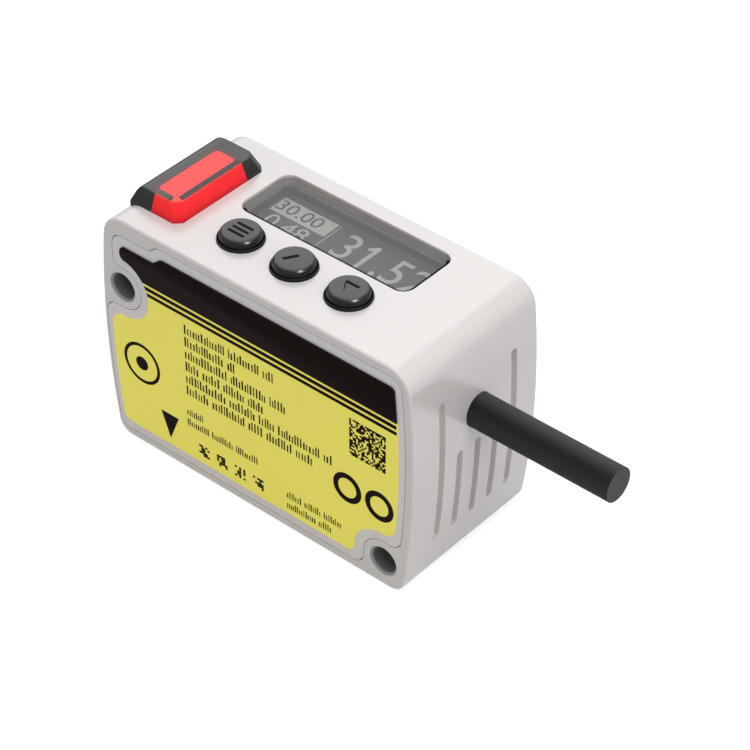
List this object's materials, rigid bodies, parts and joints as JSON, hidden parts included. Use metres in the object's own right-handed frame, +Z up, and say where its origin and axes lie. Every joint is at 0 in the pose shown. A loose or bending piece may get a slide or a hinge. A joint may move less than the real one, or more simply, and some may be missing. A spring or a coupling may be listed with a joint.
{
  "type": "laser displacement sensor",
  "caption": "Compact non-contact laser displacement sensor: a white block with curved ends, side label, display, push buttons, red status light, optics in the underside and a short side cable.",
  "frame": {"origin": "middle of the housing's flat underside, which is the optical face", "axes": "+X along the long side, towards the cable; -Y out of the labelled side; +Z up, out of the face with the display and buttons"},
  "size_m": [0.062, 0.0206, 0.032],
  "materials": {
    "white_shell": "fine satin moulding",
    "grey_cover": "fine satin moulding",
    "seal": "matte",
    "label_film": "printed film, semi-gloss",
    "smoked_plastic": "smoked, semi-gloss",
    "red_lens": "translucent, glossy",
    "light_chip": "glossy",
    "clear_pane": "clear, polished",
    "grey_frame": "matte",
    "display_cell": "polished",
    "diffuser": "matte",
    "circuit_board": "solder resist, semi-gloss",
    "ring_rubber": "matte",
    "button_rubber": "matte",
    "switch_metal": "bright",
    "black_resin": "matte",
    "ferrite": "matte",
    "block_metal": "black, die cast",
    "barrel_brass": "turned",
    "optical_glass": "polished",
    "black_ring": "black anodised",
    "filter_glass": "polished",
    "cable_sheath": "smooth, semi-matte",
    "ferrule_metal": "crimped",
    "core_insulation": "semi-gloss",
    "ivory_plastic": "matte",
    "screw_steel": "bright"
  },
  "bodies": {
    "sensor": {"housing": "white_shell", "side_cover": "grey_cover", "cover_seal": "seal", "label": "label_film", "indicator_frame": "smoked_plastic", "indicator_lens": "red_lens", "indicator_leds": "light_chip", "display_window": "clear_pane", "display_frame": "grey_frame", "display_glass": "display_cell", "display_backlight": "diffuser", "display_board": "circuit_board", "button_seals": "ring_rubber", "tact_switches": "switch_metal", "board_connector": "black_resin", "main_board": "circuit_board", "processor": "black_resin", "power_coil": "ferrite", "optics_block": "block_metal", "laser_barrel": "barrel_brass", "collimator_lens": "optical_glass", "laser_diode": "barrel_brass", "receiver_lens": "optical_glass", "lens_ring": "black_ring", "image_sensor": "black_resin", "sensor_board": "circuit_board", "optic_windows": "filter_glass", "cable_jacket": "cable_sheath", "cable_bush": "seal", "cable_ferrule": "ferrule_metal", "cable_cores": "core_insulation", "cable_connector": "ivory_plastic", "board_screws": "screw_steel", "block_screws": "screw_steel"},
    "button_mode_body": {"button_mode": "button_rubber"},
    "button_up_body": {"button_up": "button_rubber"},
    "button_down_body": {"button_down": "button_rubber"}
  },
  "joints": [
    {"name": "button_mode_press", "type": "slide", "parent": "sensor", "child": "button_mode_body", "axis": [0, 0, -1], "range_m": [0, 0.0003], "stiffness_N_per_m": 2000, "springref_m": -0.0003},
    {"name": "button_up_press", "type": "slide", "parent": "sensor", "child": "button_up_body", "axis": [0, 0, -1], "range_m": [0, 0.0003], "stiffness_N_per_m": 2000, "springref_m": -0.0003},
    {"name": "button_down_press", "type": "slide", "parent": "sensor", "child": "button_down_body", "axis": [0, 0, -1], "range_m": [0, 0.0003], "stiffness_N_per_m": 2000, "springref_m": -0.0003}
  ]
}
